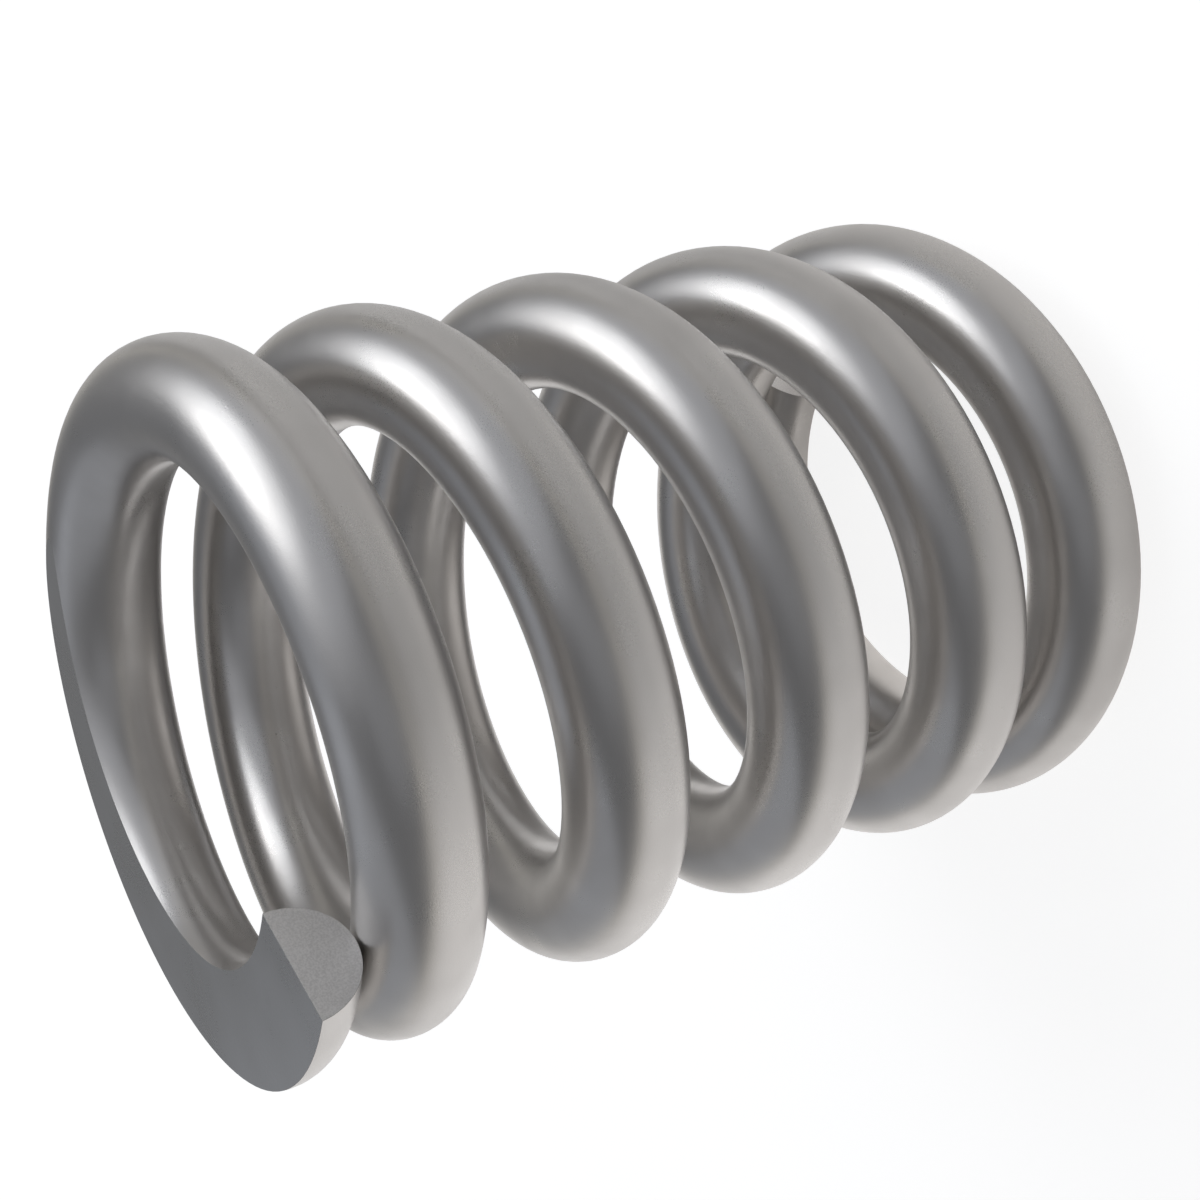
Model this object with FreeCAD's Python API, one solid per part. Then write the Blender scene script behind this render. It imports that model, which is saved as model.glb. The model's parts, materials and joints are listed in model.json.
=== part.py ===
"""Helical compression spring, coiled right-handed from one length of round wire.

Each end turn is closed against the turn beside it and ground flat, so the spring stands on
either end. It stands here on its lower end, along +Z, with the origin on its axis in the plane
of the lower ground face. The wire starts at +X and winds anticlockwise, seen from above, as it
rises. Sizes are in millimetres, and lengths of coil are in turns.
"""

import FreeCAD
import Part
import math
import os

# Driving dimensions
wire_diameter = 4.0
mean_diameter = 20.0  # across the coil, from wire centre to wire centre
free_length = 33.85  # from one ground face to the other, with no load
active_turns = 3.5
closed_turns = 1.0  # at each end
closed_clearance = 0.05  # between the wire's cut end and the turn that it closes against
easing_turns = 0.05  # stretch of coil in which the pitch eases from closed to active
tip_thickness = 2.0  # what grinding leaves of the wire at its cut end

# Sizes that follow
wire_radius = wire_diameter / 2
coil_radius = mean_diameter / 2
total_turns = active_turns + 2 * closed_turns
first_centre_height = tip_thickness - wire_radius
last_centre_height = free_length - first_centre_height


def closing_pitch(spacing):
    """Pitch at which one turn lies beside the next, with spacing measured square to the wire."""
    unrolled_turn = math.pi * mean_diameter
    return spacing / math.sqrt(1 - (spacing / unrolled_turn) ** 2)


closed_pitch = closing_pitch(wire_diameter + closed_clearance)
closed_rise = closed_turns * closed_pitch
active_rise = last_centre_height - first_centre_height - 2 * closed_rise
active_pitch = active_rise / active_turns


def unrolled_point(turns, height):
    """Point of the centreline on the unrolled winding cylinder: angle against height."""
    return FreeCAD.Base.Vector2d(2 * math.pi * turns, height)


def steady_stretch(start, end):
    """Stretch of one pitch, which is straight on the unrolled cylinder."""
    return Part.Geom2d.Line2dSegment(unrolled_point(*start), unrolled_point(*end))


def easing_stretch(start, corner, end):
    """Parabola that rounds off the corner where one pitch meets another."""
    parabola = Part.Geom2d.BezierCurve2d()
    parabola.setPoles([unrolled_point(*start), unrolled_point(*corner), unrolled_point(*end)])
    return parabola


def shifted(corner, turns, pitch):
    """Point that lies so many turns from a corner, along a stretch of the given pitch."""
    corner_turns, corner_height = corner
    return corner_turns + turns, corner_height + pitch * turns


def rolled_up(stretch):
    """Wraps an unrolled stretch onto the cylinder that the wire's centre winds round."""
    winding_cylinder = Part.Cylinder()
    winding_cylinder.Radius = coil_radius
    return stretch.toShape(winding_cylinder)


def centreline():
    """Path of the wire's centre: a closed turn, the active turns and another closed turn."""
    lower_tip = (0, first_centre_height)
    lower_corner = (closed_turns, first_centre_height + closed_rise)
    upper_corner = (closed_turns + active_turns, last_centre_height - closed_rise)
    upper_tip = (total_turns, last_centre_height)

    half_easing = easing_turns / 2
    opening_start = shifted(lower_corner, -half_easing, closed_pitch)
    opening_end = shifted(lower_corner, half_easing, active_pitch)
    closing_start = shifted(upper_corner, -half_easing, active_pitch)
    closing_end = shifted(upper_corner, half_easing, closed_pitch)

    stretches = [
        steady_stretch(lower_tip, opening_start),
        easing_stretch(opening_start, lower_corner, opening_end),
        steady_stretch(opening_end, closing_start),
        easing_stretch(closing_start, upper_corner, closing_end),
        steady_stretch(closing_end, upper_tip),
    ]
    return Part.Wire([rolled_up(stretch) for stretch in stretches])


def coiled_wire():
    """The round wire as it leaves the coiling machine, with both ends cut square across."""
    path = centreline()
    first_edge = path.OrderedEdges[0]
    tip_centre = first_edge.valueAt(first_edge.FirstParameter)
    tip_direction = first_edge.tangentAt(first_edge.FirstParameter)
    section = Part.Wire(Part.makeCircle(wire_radius, tip_centre, tip_direction))
    make_solid = True
    keep_square_to_path = True
    return path.makePipeShell([section], make_solid, keep_square_to_path)


def space_between_wheels():
    """The cylinder of free length that both grinding wheels leave, well clear of the coil."""
    beyond_coil = coil_radius + wire_diameter
    return Part.makeCylinder(beyond_coil, free_length)


def compression_spring():
    """The finished spring, with both ends ground flat and square to its axis."""
    ground = coiled_wire().common(space_between_wheels())
    return ground.Solids[0]


os.makedirs("parts", exist_ok=True)
compression_spring().exportStep("parts/compression_spring.step")
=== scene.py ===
"""Looks of a compression spring: one coiled steel wire with ground ends, on a pale studio floor.

The spring stands on its lower ground end at the origin, along +Z. Its wire starts from a cut end
at +X and winds right-handed, anticlockwise seen from above. Lengths are in metres, lengths of
coil are in turns, and each table says where it uses another unit.
"""

import bpy
import json
import math
from bpy.props import FloatProperty, FloatVectorProperty, PointerProperty
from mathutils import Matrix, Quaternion, Vector
from typing import NamedTuple


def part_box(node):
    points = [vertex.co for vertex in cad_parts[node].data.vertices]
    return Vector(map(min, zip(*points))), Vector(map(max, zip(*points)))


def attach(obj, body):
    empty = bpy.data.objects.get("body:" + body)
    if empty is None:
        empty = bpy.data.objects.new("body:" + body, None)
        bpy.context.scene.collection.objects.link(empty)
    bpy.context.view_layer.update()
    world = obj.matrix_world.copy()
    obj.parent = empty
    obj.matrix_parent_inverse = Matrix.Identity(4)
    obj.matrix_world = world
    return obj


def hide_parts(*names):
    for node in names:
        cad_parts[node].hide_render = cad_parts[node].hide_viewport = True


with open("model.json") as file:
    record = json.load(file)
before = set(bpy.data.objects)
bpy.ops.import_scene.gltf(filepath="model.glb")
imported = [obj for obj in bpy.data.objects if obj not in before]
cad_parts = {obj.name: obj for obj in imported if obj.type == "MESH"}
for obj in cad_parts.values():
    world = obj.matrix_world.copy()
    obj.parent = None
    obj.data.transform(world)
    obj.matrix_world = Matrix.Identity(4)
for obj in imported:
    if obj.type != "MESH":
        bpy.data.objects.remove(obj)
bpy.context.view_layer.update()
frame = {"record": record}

bl_info = {
    "name": "Compression spring",
    "version": (1, 0, 0),
    "blender": (4, 5, 0),
    "location": "3D View > Sidebar > Spring",
    "description": "Winds, grinds and finishes a compression spring with closed and ground ends",
    "category": "Add Mesh",
}

MM = 0.001
SPRING_NODE = "compression_spring"
SPRING_PIECE = "spring_wire"


def mount_radius(name):
    """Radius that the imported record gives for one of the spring's mounts."""
    mount = next(m for m in frame["record"]["mounts"] if m["name"] == name)
    return mount["dims"]["r_mm"] * MM


INNER_RADIUS = mount_radius("guide_rod")
OUTER_RADIUS = mount_radius("guide_sleeve")
LOWEST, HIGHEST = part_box(SPRING_NODE)
SPRING_MIDDLE = (LOWEST + HIGHEST) / 2


class SpringSizes(bpy.types.PropertyGroup):
    """Sizes of the wire and of the coil"""

    wire_diameter: FloatProperty(
        name="Wire diameter",
        description="Thickness of the round wire",
        default=OUTER_RADIUS - INNER_RADIUS,
        unit="LENGTH",
    )
    mean_diameter: FloatProperty(
        name="Mean diameter",
        description="Across the coil, from wire centre to wire centre",
        default=OUTER_RADIUS + INNER_RADIUS,
        unit="LENGTH",
    )
    free_length: FloatProperty(
        name="Free length",
        description="From one ground face to the other, with no load",
        default=HIGHEST.z - LOWEST.z,
        unit="LENGTH",
    )
    active_turns: FloatProperty(
        name="Active turns",
        description="Turns that stand open and do the work",
        default=3.5,
    )
    closed_turns: FloatProperty(
        name="Closed turns",
        description="Turns at each end that lie against their neighbour",
        default=1.0,
    )
    closed_clearance: FloatProperty(
        name="Closed clearance",
        description="Between the wire's cut end and the turn that it closes against",
        default=0.05 * MM,
        unit="LENGTH",
    )
    easing_turns: FloatProperty(
        name="Easing",
        description="Stretch of coil in which the pitch eases from closed to active",
        default=0.05,
    )
    tip_thickness: FloatProperty(
        name="Tip thickness",
        description="What grinding leaves of the wire at its cut end",
        default=2.0 * MM,
        unit="LENGTH",
    )
    edge_break: FloatProperty(
        name="Edge break",
        description="Width of the broken edge round the ground and cut faces",
        default=0.008 * MM,
        unit="LENGTH",
    )


class SteelFinish(bpy.types.PropertyGroup):
    """Colours, gloss and tool marks of the steel"""

    bright_steel: FloatVectorProperty(
        name="Bright steel",
        description="Colour of the drawn wire where it is cleanest",
        default=(0.595, 0.58, 0.565),
        subtype="COLOR",
    )
    dull_steel: FloatVectorProperty(
        name="Dull steel",
        description="Colour of the drawn wire where handling and oil have dulled it",
        default=(0.555, 0.54, 0.525),
        subtype="COLOR",
    )
    ground_steel: FloatVectorProperty(
        name="Ground steel",
        description="Colour of the ground faces",
        default=(0.56, 0.56, 0.56),
        subtype="COLOR",
    )
    cut_steel: FloatVectorProperty(
        name="Cut steel",
        description="Colour of the cut ends where they are cleanest",
        default=(0.68, 0.67, 0.663),
        subtype="COLOR",
    )
    wire_roughness: FloatProperty(
        name="Wire roughness",
        description="Roughness of the drawn wire",
        default=0.33,
        subtype="FACTOR",
    )
    ground_roughness: FloatProperty(
        name="Ground roughness",
        description="Roughness of the ground faces",
        default=0.3,
        subtype="FACTOR",
    )
    cut_roughness: FloatProperty(
        name="Cut roughness",
        description="Roughness of the cut ends",
        default=0.38,
        subtype="FACTOR",
    )
    grain_size: FloatProperty(
        name="Grain",
        description="Size of the fine grain that the peened skin shows",
        default=0.042 * MM,
        unit="LENGTH",
    )
    grain_depth: FloatProperty(
        name="Grain depth",
        description="Depth of the fine grain",
        default=0.0035 * MM,
        unit="LENGTH",
    )
    mottle_size: FloatProperty(
        name="Mottle",
        description="Size of the clouds in the steel's colour and gloss",
        default=3.0 * MM,
        unit="LENGTH",
    )
    die_line_width: FloatProperty(
        name="Die line",
        description="Width of the lines that the drawing die leaves along the wire",
        default=0.16 * MM,
        unit="LENGTH",
    )
    die_line_depth: FloatProperty(
        name="Die line depth",
        description="Depth of the lines along the wire",
        default=0.0005 * MM,
        unit="LENGTH",
    )
    wheel_mark_width: FloatProperty(
        name="Wheel mark",
        description="Width of the arcs that the grinding wheel leaves",
        default=0.08 * MM,
        unit="LENGTH",
    )
    wheel_mark_depth: FloatProperty(
        name="Wheel mark depth",
        description="Depth of the arcs on the ground faces",
        default=0.0006 * MM,
        unit="LENGTH",
    )


class StudioStage(bpy.types.PropertyGroup):
    """The floor, the room, the lamps and the camera"""

    floor_side: FloatProperty(
        name="Floor",
        description="Side of the square floor",
        default=4.0,
        unit="LENGTH",
    )
    floor_colour: FloatVectorProperty(
        name="Floor colour",
        description="Colour of the light that the floor throws back at the spring",
        default=(0.872, 0.845, 0.806),
        subtype="COLOR",
    )
    shadow_share: FloatProperty(
        name="Shadow",
        description="How much of the lit floor, and so of the shadow, the camera sees",
        default=0.3,
        subtype="FACTOR",
    )
    backdrop_share: FloatProperty(
        name="Backdrop",
        description="How much plain white the camera sees on the floor where the lamps light it",
        default=0.85,
        subtype="FACTOR",
    )
    # the mirrored backdrop and its tint are a painted reflection: a glow that the floor shows only
    # in the steel
    mirrored_share: FloatProperty(
        name="Mirrored backdrop",
        description="How pale the far side of the floor looks in the steel",
        default=0.56,
        subtype="FACTOR",
    )
    mirrored_tint: FloatVectorProperty(
        name="Mirrored tint",
        description="Colour of the far side of the floor in the steel",
        default=(1.0, 0.975, 0.958),
        subtype="COLOR",
    )
    room_overhead: FloatVectorProperty(
        name="Room overhead",
        description="Colour of the room above the spring",
        default=(0.165, 0.168, 0.176),
        subtype="COLOR",
    )
    room_horizon: FloatVectorProperty(
        name="Room horizon",
        description="Colour of the room low down, all round the spring",
        default=(0.758, 0.714, 0.624),
        subtype="COLOR",
    )
    lamp_distance: FloatProperty(
        name="Lamp distance",
        description="From the middle of the spring to each lamp",
        default=0.25,
        unit="LENGTH",
    )
    lamp_level: FloatProperty(
        name="Lamp level",
        description="Brightness of all the lamps together",
        default=1.0,
        subtype="FACTOR",
        soft_max=2.0,
    )
    camera_place: FloatVectorProperty(
        name="Camera place",
        description="Where the camera stands",
        default=(-0.034467, -0.040094, 0.048394),
        subtype="TRANSLATION",
        unit="LENGTH",
    )
    camera_aim: FloatVectorProperty(
        name="Camera aim",
        description="Point in the middle of the spring that the camera looks at",
        default=SPRING_MIDDLE[:],
        subtype="TRANSLATION",
        unit="LENGTH",
    )
    camera_roll: FloatProperty(
        name="Camera roll",
        description="Turn of the camera about its own line of sight",
        default=math.radians(-105.82),
        subtype="ANGLE",
    )
    camera_lens: FloatProperty(
        name="Camera lens",
        description="Focal length in millimetres, behind a 36 millimetre frame",
        default=50.155,
    )


class Lamp(NamedTuple):
    """A round lamp that faces the middle of the spring, with its angles in degrees."""

    azimuth: float  # from +X towards +Y
    elevation: float  # above the level of the floor
    half_width: float  # as the spring sees it
    brightness: float
    colour: tuple


LAMPS = {
    "key_lamp": Lamp(324.5, 50.5, 23.9, 1.4, (0.945, 0.97, 1.0)),
    "key_core": Lamp(334, 55, 9.6, 2.2, (1.0, 0.985, 0.97)),
    "high_lamp": Lamp(338, 64, 15, 0.15, (1.0, 0.985, 0.97)),
    "wide_lamp": Lamp(302, 49, 46, 0.33, (0.885, 0.918, 1.0)),
    "side_lamp": Lamp(98, 36, 33, 0.236, (0.85, 0.9, 1.0)),
    "back_fill": Lamp(48, 60, 20, 0.17, (0.8, 0.87, 1.0)),
    "front_fill": Lamp(207, 36, 20, 0.12, (0.87, 0.91, 1.0)),
}


class Coil:
    """The path of the wire's centre, with the frame of its round section along it."""

    def __init__(self, sizes):
        self.wire_radius = sizes.wire_diameter / 2
        self.radius = sizes.mean_diameter / 2
        self.length = sizes.free_length
        self.closed_turns = sizes.closed_turns
        self.turns = sizes.active_turns + 2 * sizes.closed_turns
        self.half_easing = sizes.easing_turns / 2
        self.unrolled_turn = 2 * math.pi * self.radius

        spacing = sizes.wire_diameter + sizes.closed_clearance
        self.closed_pitch = spacing / math.sqrt(1 - (spacing / self.unrolled_turn) ** 2)
        first_height = sizes.tip_thickness - self.wire_radius
        self.corner_height = first_height + self.closed_turns * self.closed_pitch
        self.active_pitch = (self.length - 2 * self.corner_height) / sizes.active_turns

        closed_climb = math.atan2(self.closed_pitch, self.unrolled_turn)
        ground_rise = self.wire_radius * math.cos(closed_climb) - first_height
        self.ground_turns = ground_rise / self.closed_pitch

    def height(self, turns):
        """Height of the wire's centre up to mid-length, and the pitch that it climbs at."""
        past = turns - self.closed_turns
        if abs(past) >= self.half_easing:
            pitch = self.closed_pitch if past < 0 else self.active_pitch
            return self.corner_height + past * pitch, pitch
        share = (past + self.half_easing) / (2 * self.half_easing)
        start = -self.half_easing * self.closed_pitch
        end = self.half_easing * self.active_pitch
        rise = (1 - share) ** 2 * start + share ** 2 * end
        pitch = (1 - share) * self.closed_pitch + share * self.active_pitch
        return self.corner_height + rise, pitch

    def section(self, turns):
        """Centre of the section, the way out of the coil, and the way up along the section."""
        angle = 2 * math.pi * turns
        height, pitch = self.height(turns)
        climb = math.atan2(pitch, self.unrolled_turn)
        outward = Vector((math.cos(angle), math.sin(angle), 0))
        backward = Vector((math.sin(angle), -math.cos(angle), 0))
        upward = math.sin(climb) * backward + Vector((0, 0, math.cos(climb)))
        return self.radius * outward + Vector((0, 0, height)), outward, upward

    def ground_half_angle(self, turns):
        """Half of the angle of the round section that the grinding wheel takes off."""
        if turns >= self.ground_turns:
            return 0.0
        height, pitch = self.height(turns)
        climb = math.atan2(pitch, self.unrolled_turn)
        return math.acos(height / (self.wire_radius * math.cos(climb)))

    def turned_over(self, place):
        """The same place on the other half: the coil looks the same when turned end for end."""
        middle = Vector((0, 0, self.length / 2))
        axis = Vector((math.cos(math.pi * self.turns), math.sin(math.pi * self.turns), 0))
        offset = place - middle
        return middle + 2 * offset.dot(axis) * axis - offset


SKIN_SEGMENTS = 64  # round the wire
STATIONS_PER_TURN = 120
GROUND_STATIONS = 96  # along each ground face
WIRE_SKIN, GROUND_FACE, CUT_FACE, BROKEN_EDGE = range(4)  # in the order of the materials
CORNER_SHARE = 0.3  # most of a narrow flat's half width that its broken edge may take


def half_coil_stations(coil):
    """Stations from the tip to mid-length, closer together where the ground face runs out."""
    ground = [
        coil.ground_turns * math.sin(math.pi / 2 * step / GROUND_STATIONS)
        for step in range(1, GROUND_STATIONS)
    ]
    open_stretch = coil.turns / 2 - coil.ground_turns
    steps = math.ceil(open_stretch * STATIONS_PER_TURN)
    return ground + [coil.ground_turns + open_stretch * step / steps for step in range(steps + 1)]


def outline(coil, half_angle, edge_break, inset):
    """Outline of a section, as distances out of the coil and up.

    It runs round the skin from the outer side of the flat to the inner side, and back along
    the flat. Where nothing is ground off, the ends of the skin meet and the flat has no width.
    """
    radius = coil.wire_radius
    half_flat = radius * math.sin(half_angle)
    break_width = min(edge_break, CORNER_SHARE * half_flat)
    first_angle = half_angle + break_width / radius - math.pi / 2
    swept = 2 * (math.pi - half_angle - break_width / radius)
    angles = [first_angle + swept * step / SKIN_SEGMENTS for step in range(SKIN_SEGMENTS + 1)]
    skin = [((radius - inset) * math.cos(a), (radius - inset) * math.sin(a)) for a in angles]
    flat_end = half_flat - break_width - inset
    flat_level = inset - radius * math.cos(half_angle)
    return skin + [(-flat_end, flat_level), (flat_end, flat_level)]


class WireMesh:
    """Points and faces of the wire, gathered ring by ring from its lower tip."""

    def __init__(self, coil, edge_break):
        self.coil = coil
        self.edge_break = edge_break
        self.places = []
        self.straight = []
        self.faces = []
        self.surfaces = []
        self.travelled = 0.0
        self.last_centre = None

    def add_ring(self, turns, inset=0.0):
        """Adds one section's points. The ring has as many corners where some of them meet."""
        centre, outward, upward = self.coil.section(turns)
        if self.last_centre:
            self.travelled += (centre - self.last_centre).length
        self.last_centre = centre
        half_angle = self.coil.ground_half_angle(turns)
        points = outline(self.coil, half_angle, self.edge_break, inset)
        first = len(self.places)
        ring = list(range(first, first + len(points)))
        if not half_angle:
            points = points[:SKIN_SEGMENTS]
            ring[SKIN_SEGMENTS:] = [first] * (len(ring) - SKIN_SEGMENTS)
        for out, up in points:
            self.places.append(centre + out * outward + up * upward)
            self.straight.append((out, up, self.travelled))
        return ring

    def add_face(self, corners, surface):
        """Adds a face, unless its corners meet in a line."""
        corners = tuple(dict.fromkeys(corners))
        if len(corners) > 2:
            self.faces.append(corners)
            self.surfaces.append(surface)

    def join(self, ring, following, surfaces):
        """Adds the faces between two rings, each with the surface that it belongs to."""
        sides = zip(ring, ring[1:] + ring[:1], following, following[1:] + following[:1], surfaces)
        for start, end, next_start, next_end, surface in sides:
            self.add_face((start, next_start, next_end, end), surface)

    def cap(self, ring):
        """Closes the cut end with strips that run level with its flat."""
        across = ring[-1:] + ring[:-1]
        for step in range(len(across) // 2):
            corners = (across[step], across[step + 1], across[-2 - step], across[-1 - step])
            self.add_face(corners, CUT_FACE)

    def add_other_half(self):
        """Turns the finished half end for end, and joins both at mid-length."""
        own = len(self.places) - SKIN_SEGMENTS
        total = len(self.places)
        whole_length = 2 * self.travelled

        def twin(point):
            if point < own:
                return total + point
            return own + (SKIN_SEGMENTS // 2 - (point - own)) % SKIN_SEGMENTS

        self.places += [self.coil.turned_over(place) for place in self.places[:own]]
        self.straight += [(x, -y, whole_length - z) for x, y, z in self.straight[:own]]
        self.faces += [tuple(twin(point) for point in face) for face in self.faces]
        self.surfaces *= 2


def wire_mesh(coil, edge_break):
    """Mesh of the whole spring, with its surfaces, sharp edges and unwound coordinates."""
    wire = WireMesh(coil, edge_break)
    tip_edge = wire.add_ring(0.0, inset=edge_break)
    ring = wire.add_ring(edge_break / coil.unrolled_turn)
    wire.cap(tip_edge)
    wire.join(tip_edge, ring, [BROKEN_EDGE] * len(ring))
    round_section = [WIRE_SKIN] * SKIN_SEGMENTS + [BROKEN_EDGE, GROUND_FACE, BROKEN_EDGE]
    for turns in half_coil_stations(coil):
        following = wire.add_ring(turns)
        wire.join(ring, following, round_section)
        ring = following
    wire.add_other_half()

    mesh = bpy.data.meshes.new(SPRING_PIECE)
    mesh.from_pydata(wire.places, [], wire.faces)
    mesh.polygons.foreach_set("material_index", wire.surfaces)
    mesh.shade_smooth()
    unwound = mesh.attributes.new("straight_wire", "FLOAT_VECTOR", "POINT")
    unwound.data.foreach_set("vector", [value for point in wire.straight for value in point])
    keep_edges_crisp(mesh)
    return mesh


def keep_edges_crisp(mesh):
    """Marks each edge between two surfaces as sharp, so that neither shades the other."""
    surfaces_at = {}
    for face in mesh.polygons:
        for edge in face.edge_keys:
            surfaces_at.setdefault(edge, set()).add(face.material_index)
    for edge in mesh.edges:
        edge.use_edge_sharp = len(surfaces_at[edge.key]) > 1


def add_node(tree, kind, inputs=None, **settings):
    """Adds a shader node. Each input is joined to the socket it is given, or set to the value."""
    made = tree.nodes.new(kind)
    for name, value in settings.items():
        setattr(made, name, value)
    for name, value in (inputs or {}).items():
        if isinstance(value, bpy.types.NodeSocket):
            tree.links.new(value, made.inputs[name])
        else:
            made.inputs[name].default_value = value
    return made


def maths(tree, operation, *values, **settings):
    """Result of a Math node."""
    return add_node(
        tree, "ShaderNodeMath", dict(enumerate(values)), operation=operation, **settings
    ).outputs[0]


def spread(tree, value, lowest, highest, start=0.0, end=1.0):
    """Value carried from one range to another, and held at its ends."""
    return add_node(tree, "ShaderNodeMapRange", {
        "Value": value,
        "From Min": start,
        "From Max": end,
        "To Min": lowest,
        "To Max": highest,
    }).outputs[0]


def clouds(tree, place, size, detail=2.0):
    """Noise of the given feature size, mostly between 0.3 and 0.7."""
    return add_node(tree, "ShaderNodeTexNoise", {
        "Vector": place,
        "Scale": 1 / size,
        "Detail": detail,
    }).outputs[0]


def stretched(tree, place, scale):
    """Coordinates squeezed by a factor along each axis, which draws the noise on them out."""
    return add_node(
        tree, "ShaderNodeVectorMath", {0: place, 1: scale}, operation="MULTIPLY"
    ).outputs[0]


def tinted(tree, share, first, second):
    """Colour between two colours."""
    ramp = add_node(tree, "ShaderNodeValToRGB", {"Fac": share})
    for stop, colour in zip(ramp.color_ramp.elements, (first, second)):
        stop.color = (*colour, 1)
    return ramp.outputs[0]


def relief(tree, height, depth, below=None):
    """Normal of a surface whose height varies by a depth, on top of another relief."""
    inputs = {"Height": height, "Distance": depth, "Strength": 1.0}
    if below:
        inputs["Normal"] = below
    return add_node(tree, "ShaderNodeBump", inputs).outputs[0]


def new_material(name):
    """Empty material, and its node tree."""
    material = bpy.data.materials.new(name)
    material.use_nodes = True
    material.node_tree.nodes.clear()
    return material, material.node_tree


def bare_metal(tree, colour, roughness, normal):
    """Ends a node tree in bare metal."""
    metal = add_node(tree, "ShaderNodeBsdfPrincipled", {
        "Base Color": colour,
        "Metallic": 1.0,
        "Roughness": roughness,
        "Normal": normal,
    })
    add_node(tree, "ShaderNodeOutputMaterial", {"Surface": metal.outputs[0]})


def unwound_place(tree):
    """Coordinates on the straight wire: out of the coil, up, and along the wire."""
    unwound = add_node(tree, "ShaderNodeAttribute", attribute_name="straight_wire")
    return unwound.outputs["Vector"]


DIE_LINE_STRETCH = 60  # how many times longer than wide the die's lines are
RUBBED_PATCH = 5 * MM  # size of the patches that have rubbed against a bore
RUBBED_FROM = 0.8  # how far out on the wire the rubbing starts, as a share of its radius
GLOSS_CLOUDS = 0.035  # how far the clouds change the roughness
GLOSS_GRAIN = 0.03  # how far the grain changes the roughness
GLOSS_RUBBED = 0.03  # how much smoother the rubbed patches are
NOISE_LOW, NOISE_HIGH = 0.35, 0.65  # the noise seldom leaves this range


def drawn_wire(finish, wire_radius):
    """Satin skin of the wire: fine grain, faint die lines, clouds, and patches rubbed smooth."""
    material, tree = new_material("drawn_wire")
    place = unwound_place(tree)
    mottle = clouds(tree, place, finish.mottle_size)
    grain = clouds(tree, place, finish.grain_size)
    along = stretched(tree, place, (1, 1, 1 / DIE_LINE_STRETCH))
    die_lines = clouds(tree, along, finish.die_line_width)

    outward = add_node(tree, "ShaderNodeSeparateXYZ", {"Vector": place}).outputs["X"]
    outermost = spread(tree, outward, 0.0, 1.0, RUBBED_FROM * wire_radius, wire_radius)
    patches = spread(tree, clouds(tree, place, RUBBED_PATCH), 0.0, 1.0, NOISE_LOW, NOISE_HIGH)
    rubbed = maths(tree, "MULTIPLY", outermost, patches)

    gloss = spread(
        tree, mottle,
        finish.wire_roughness - GLOSS_CLOUDS, finish.wire_roughness + GLOSS_CLOUDS,
        NOISE_LOW, NOISE_HIGH,
    )
    grainy = maths(
        tree, "ADD", gloss, spread(tree, grain, -GLOSS_GRAIN, GLOSS_GRAIN, NOISE_LOW, NOISE_HIGH)
    )
    roughness = maths(tree, "SUBTRACT", grainy, maths(tree, "MULTIPLY", rubbed, GLOSS_RUBBED))

    cleaner = maths(tree, "ADD", spread(tree, mottle, 1.0, 0.0, NOISE_LOW, NOISE_HIGH), rubbed)
    colour = tinted(tree, cleaner, finish.dull_steel, finish.bright_steel)
    lined = relief(tree, die_lines, finish.die_line_depth)
    bare_metal(tree, colour, roughness, relief(tree, grain, finish.grain_depth, lined))
    return material


WHEEL_CENTRES = ((0.09, 0.04, 0), (-0.03, 0.11, 0))  # the wheel's marks cross, out and back
WHEEL_MARK_STRETCH = 40  # how many times longer than wide the wheel's marks are
SCRATCHED_SHADE = 0.95  # how dark the marks are beside the steel between them


def ground_face(finish):
    """Flat ground steel, with the crossing arcs of the grinding wheel."""
    material, tree = new_material("ground_face")
    place = add_node(tree, "ShaderNodeTexCoord").outputs["Object"]
    first, second = [
        add_node(
            tree, "ShaderNodeVectorMath", {0: place, 1: centre}, operation="DISTANCE"
        ).outputs["Value"]
        for centre in WHEEL_CENTRES
    ]
    marks = []
    for across, along in ((first, second), (second, first)):
        drawn_out = maths(tree, "DIVIDE", along, WHEEL_MARK_STRETCH)
        arcs = add_node(tree, "ShaderNodeCombineXYZ", {"X": across, "Y": drawn_out}).outputs[0]
        marks.append(clouds(tree, arcs, finish.wheel_mark_width))
    scratches = maths(tree, "MAXIMUM", *marks)
    mottle = clouds(tree, place, finish.mottle_size)

    gloss = spread(
        tree, mottle,
        finish.ground_roughness - GLOSS_CLOUDS, finish.ground_roughness + GLOSS_CLOUDS,
        NOISE_LOW, NOISE_HIGH,
    )
    roughness = maths(
        tree, "ADD", gloss, spread(tree, scratches, -GLOSS_GRAIN, GLOSS_GRAIN, NOISE_LOW, NOISE_HIGH)
    )
    scratched = [SCRATCHED_SHADE * channel for channel in finish.ground_steel]
    colour = tinted(tree, scratches, finish.ground_steel, scratched)
    bare_metal(tree, colour, roughness, relief(tree, scratches, finish.wheel_mark_depth))
    return material


TORN_SIZE = 1.5  # grain of the cut ends, in grains of the wire
TORN_SHADE = 0.82  # how dark that grain is beside the clean metal
SHEAR_SIZE = 2  # width of the shear marks, in grains of the wire
SHEAR_STRETCH = 8  # how many times longer than wide the shear marks are


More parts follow.
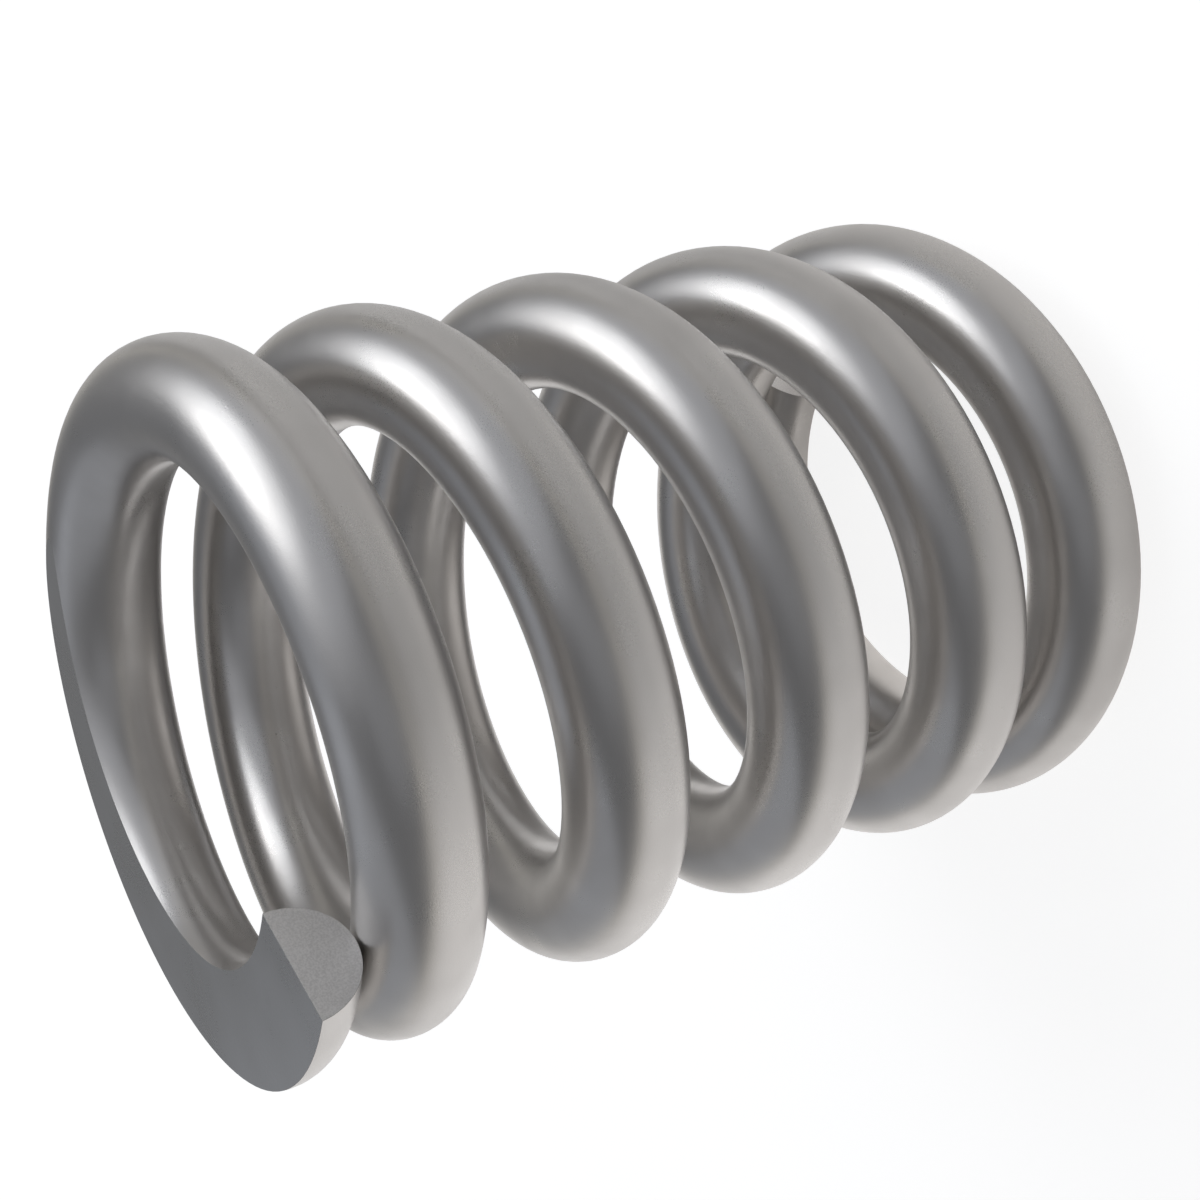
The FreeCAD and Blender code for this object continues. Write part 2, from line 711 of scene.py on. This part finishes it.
def cut_face(finish):
    """Cut end of the wire: coarser grain, and marks where the blade sheared it."""
    material, tree = new_material("cut_face")
    place = unwound_place(tree)
    torn = clouds(tree, place, TORN_SIZE * finish.grain_size)
    upright = stretched(tree, place, (1, 1 / SHEAR_STRETCH, 1))
    sheared = clouds(tree, upright, SHEAR_SIZE * finish.grain_size)
    roughness = spread(
        tree, torn,
        finish.cut_roughness - GLOSS_GRAIN, finish.cut_roughness + GLOSS_GRAIN,
        NOISE_LOW, NOISE_HIGH,
    )
    duller = [TORN_SHADE * channel for channel in finish.cut_steel]
    flecks = spread(tree, torn, 0.0, 1.0, NOISE_LOW, NOISE_HIGH)
    colour = tinted(tree, flecks, duller, finish.cut_steel)
    lined = relief(tree, sheared, finish.grain_depth)
    bare_metal(tree, colour, roughness, relief(tree, torn, finish.grain_depth, lined))
    return material


NICK_SIZE = 3  # size of the nicks in the broken edge, in grains of the wire
EDGE_ROUGHNESS = 0.55, 0.65  # at its smoothest and at its roughest
EDGE_SHADES = 0.6, 0.75  # how dark it is beside the drawn wire, at its darkest and its palest


def worn_edge(finish):
    """Broken edge where the burr was taken off: duller and rougher than the faces beside it."""
    material, tree = new_material("worn_edge")
    place = unwound_place(tree)
    nicks = clouds(tree, place, NICK_SIZE * finish.grain_size)
    roughness = spread(tree, nicks, *EDGE_ROUGHNESS, NOISE_LOW, NOISE_HIGH)
    darkest, palest = [
        [shade * channel for channel in finish.dull_steel] for shade in EDGE_SHADES
    ]
    colour = tinted(tree, nicks, darkest, palest)
    bare_metal(tree, colour, roughness, relief(tree, nicks, finish.grain_depth))
    return material


class SPRING_OT_wind(bpy.types.Operator):
    """Winds the wire, grinds both ends and gives the steel its finish"""

    bl_idname = "spring.wind"
    bl_label = "Wind spring"

    def execute(self, context):
        sizes = context.scene.spring_sizes
        finish = context.scene.steel_finish
        coil = Coil(sizes)
        mesh = wire_mesh(coil, sizes.edge_break)
        mesh.materials.append(drawn_wire(finish, coil.wire_radius))
        mesh.materials.append(ground_face(finish))
        mesh.materials.append(cut_face(finish))
        mesh.materials.append(worn_edge(finish))
        piece = bpy.data.objects.new(SPRING_PIECE, mesh)
        context.scene.collection.objects.link(piece)
        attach(piece, "root")
        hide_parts(SPRING_NODE)
        return {"FINISHED"}


WHITE = (1, 1, 1, 1)
GLOW_AZIMUTH = math.radians(107)  # the side on which the floor's painted glow in the steel is palest
GLOW_START, GLOW_FULL = -0.6, 0.95  # where it starts and is full: cosines of the angle from there
GLOW_SOFTENED = 5 * MM  # how near the spring's axis the pale side blends into the dark one
PAINTED_NEAR_GLOW, NEAR_REACH = 0.28, 35 * MM  # painted glow that only the steel sees under the spring, where the spring's shadow darkens the floor, and how far out it ends
LAMPS_FADE, LAMPS_FADED = 60 * MM, 400 * MM  # where the lamps' light on the floor fades, and ends
HORIZON_HAZE = 0.064  # sine of the angle above the floor over which the horizon's light fades
HORIZON_MIRRORED = 0.3  # how much plain white the steel mirrors at the horizon


def direct_sight(tree, light_path):
    """One where the surface is seen straight on or through something clear, else nought."""
    return maths(
        tree, "ADD",
        light_path.outputs["Is Camera Ray"], light_path.outputs["Is Transmission Ray"],
        use_clamp=True,
    )


def floor_white(stage):
    """Pale matt floor: it keeps the spring's shadow, and stands as plain white behind it. In the
    steel alone it glows, palest on one side and under the spring: a painted reflection that also
    hides the shadow there.
    """
    material, tree = new_material("floor_white")
    light_path = add_node(tree, "ShaderNodeLightPath")
    sight = direct_sight(tree, light_path)
    shade = tinted(tree, sight, stage.floor_colour, [stage.shadow_share] * 3)
    matt = add_node(tree, "ShaderNodeBsdfDiffuse", {"Color": shade})

    place = add_node(tree, "ShaderNodeTexCoord").outputs["Object"]
    paler = (math.cos(GLOW_AZIMUTH), math.sin(GLOW_AZIMUTH), 0)
    towards = add_node(
        tree, "ShaderNodeVectorMath", {0: place, 1: paler}, operation="DOT_PRODUCT"
    ).outputs["Value"]
    away = add_node(tree, "ShaderNodeVectorMath", {0: place}, operation="LENGTH").outputs["Value"]
    facing = maths(tree, "DIVIDE", towards, maths(tree, "ADD", away, GLOW_SOFTENED))
    mirrored = add_node(tree, "ShaderNodeMapRange", {
        "Value": facing,
        "From Min": GLOW_START,
        "From Max": GLOW_FULL,
        "To Min": 0.0,
        "To Max": stage.mirrored_share,
    }, interpolation_type="SMOOTHSTEP").outputs[0]
    near = spread(tree, away, PAINTED_NEAR_GLOW, 0.0, 0.0, NEAR_REACH)
    glow = maths(tree, "ADD", mirrored, near)
    # painted reflection: this glow shows only in the steel, not to the camera, and lights nothing
    in_metal = maths(tree, "MULTIPLY", light_path.outputs["Is Glossy Ray"], glow)
    backdrop = spread(tree, away, stage.backdrop_share, 1.0, LAMPS_FADE, LAMPS_FADED)
    in_sight = maths(tree, "MULTIPLY", sight, backdrop)
    white = add_node(tree, "ShaderNodeEmission", {"Color": WHITE, "Strength": in_sight})
    painted_reflection = add_node(tree, "ShaderNodeEmission", {
        "Color": (*stage.mirrored_tint, 1),
        "Strength": in_metal,
    })
    glows = add_node(tree, "ShaderNodeAddShader", {0: white.outputs[0], 1: painted_reflection.outputs[0]})
    upper_side = add_node(tree, "ShaderNodeAddShader", {0: matt.outputs[0], 1: glows.outputs[0]})
    clear = add_node(tree, "ShaderNodeBsdfTransparent")
    from_below = add_node(tree, "ShaderNodeNewGeometry").outputs["Backfacing"]
    surface = add_node(
        tree, "ShaderNodeMixShader", {0: from_below, 1: upper_side.outputs[0], 2: clear.outputs[0]}
    )
    add_node(tree, "ShaderNodeOutputMaterial", {"Surface": surface.outputs[0]})
    return material


def studio_room(stage):
    """World: a dim room that is paler at the horizon, with a plain white backdrop in sight."""
    world = bpy.data.worlds.new("studio_room")
    world.use_nodes = True
    tree = world.node_tree
    tree.nodes.clear()
    way = add_node(tree, "ShaderNodeTexCoord").outputs["Generated"]
    level = add_node(tree, "ShaderNodeSeparateXYZ", {"Vector": way}).outputs["Z"]
    hazes = maths(tree, "DIVIDE", level, -HORIZON_HAZE)
    low_down = maths(tree, "EXPONENT", hazes, use_clamp=True)
    room = add_node(tree, "ShaderNodeBackground", {
        "Color": tinted(tree, low_down, stage.room_overhead, stage.room_horizon),
    })
    backdrop = add_node(tree, "ShaderNodeBackground", {"Color": WHITE, "Strength": 1.0})

    light_path = add_node(tree, "ShaderNodeLightPath")
    mirrored = maths(tree, "MULTIPLY", low_down, HORIZON_MIRRORED)
    in_metal = maths(tree, "MULTIPLY", light_path.outputs["Is Glossy Ray"], mirrored)
    share = maths(tree, "ADD", direct_sight(tree, light_path), in_metal, use_clamp=True)
    seen = add_node(
        tree, "ShaderNodeMixShader", {0: share, 1: room.outputs[0], 2: backdrop.outputs[0]}
    )
    add_node(tree, "ShaderNodeOutputWorld", {"Surface": seen.outputs[0]})
    return world


def add_floor(scene, stage):
    """Lays the floor level with the spring's lower ground end."""
    half = stage.floor_side / 2
    corners = [(-half, -half, 0), (half, -half, 0), (half, half, 0), (-half, half, 0)]
    mesh = bpy.data.meshes.new("floor")
    mesh.from_pydata(corners, [], [(0, 1, 2, 3)])
    mesh.materials.append(floor_white(stage))
    floor = bpy.data.objects.new("floor", mesh)
    scene.collection.objects.link(floor)


def add_lamp(scene, stage, name, lamp):
    """Hangs a round lamp that faces the spring. It lights the spring and shows in its steel."""
    azimuth = math.radians(lamp.azimuth)
    elevation = math.radians(lamp.elevation)
    towards = Vector((
        math.cos(elevation) * math.cos(azimuth),
        math.cos(elevation) * math.sin(azimuth),
        math.sin(elevation),
    ))
    light = bpy.data.lights.new(name, "AREA")
    light.shape = "DISK"
    light.size = 2 * stage.lamp_distance * math.tan(math.radians(lamp.half_width))
    face = math.pi / 4 * light.size ** 2
    light.energy = math.pi * face * lamp.brightness * stage.lamp_level
    light.color = lamp.colour
    holder = bpy.data.objects.new(name, light)
    holder.location = SPRING_MIDDLE + stage.lamp_distance * towards
    holder.rotation_mode = "QUATERNION"
    holder.rotation_quaternion = towards.to_track_quat("Z", "Y")
    holder.visible_camera = False
    scene.collection.objects.link(holder)


def add_camera(scene, stage):
    """Places the camera, aimed at the middle of the spring and rolled on its side."""
    camera = bpy.data.cameras.new("camera")
    camera.lens = stage.camera_lens
    camera.clip_start = MM
    holder = bpy.data.objects.new("camera", camera)
    holder.location = stage.camera_place
    level = (Vector(stage.camera_aim) - holder.location).to_track_quat("-Z", "Y")
    holder.rotation_mode = "QUATERNION"
    holder.rotation_quaternion = level @ Quaternion((0, 0, 1), stage.camera_roll)
    scene.collection.objects.link(holder)
    scene.camera = holder


class SPRING_OT_stage(bpy.types.Operator):
    """Sets the floor, the room, the lamps and the camera round the spring"""

    bl_idname = "spring.stage"
    bl_label = "Set stage"

    def execute(self, context):
        scene = context.scene
        stage = scene.studio_stage
        add_floor(scene, stage)
        scene.world = studio_room(stage)
        for name, lamp in LAMPS.items():
            add_lamp(scene, stage, name, lamp)
        add_camera(scene, stage)
        scene.view_settings.view_transform = "Standard"
        return {"FINISHED"}


class SPRING_PT_panel(bpy.types.Panel):
    """Lists the steps that make the spring, with their settings"""

    bl_idname = "SPRING_PT_panel"
    bl_label = "Compression spring"
    bl_space_type = "VIEW_3D"
    bl_region_type = "UI"
    bl_category = "Spring"

    def draw(self, context):
        scene = context.scene
        layout = self.layout
        for group in (scene.spring_sizes, scene.steel_finish):
            for setting in group.__annotations__:
                layout.prop(group, setting)
        layout.operator(SPRING_OT_wind.bl_idname)
        for setting in scene.studio_stage.__annotations__:
            layout.prop(scene.studio_stage, setting)
        layout.operator(SPRING_OT_stage.bl_idname)


CLASSES = (SpringSizes, SteelFinish, StudioStage, SPRING_OT_wind, SPRING_OT_stage, SPRING_PT_panel)


def register():
    for each in CLASSES:
        bpy.utils.register_class(each)
    bpy.types.Scene.spring_sizes = PointerProperty(type=SpringSizes)
    bpy.types.Scene.steel_finish = PointerProperty(type=SteelFinish)
    bpy.types.Scene.studio_stage = PointerProperty(type=StudioStage)


def unregister():
    del bpy.types.Scene.studio_stage
    del bpy.types.Scene.steel_finish
    del bpy.types.Scene.spring_sizes
    for each in reversed(CLASSES):
        bpy.utils.unregister_class(each)


def main():
    """Makes the spring and its stage."""
    register()
    bpy.ops.spring.wind()
    bpy.ops.spring.stage()


if __name__ == "__main__":
    main()
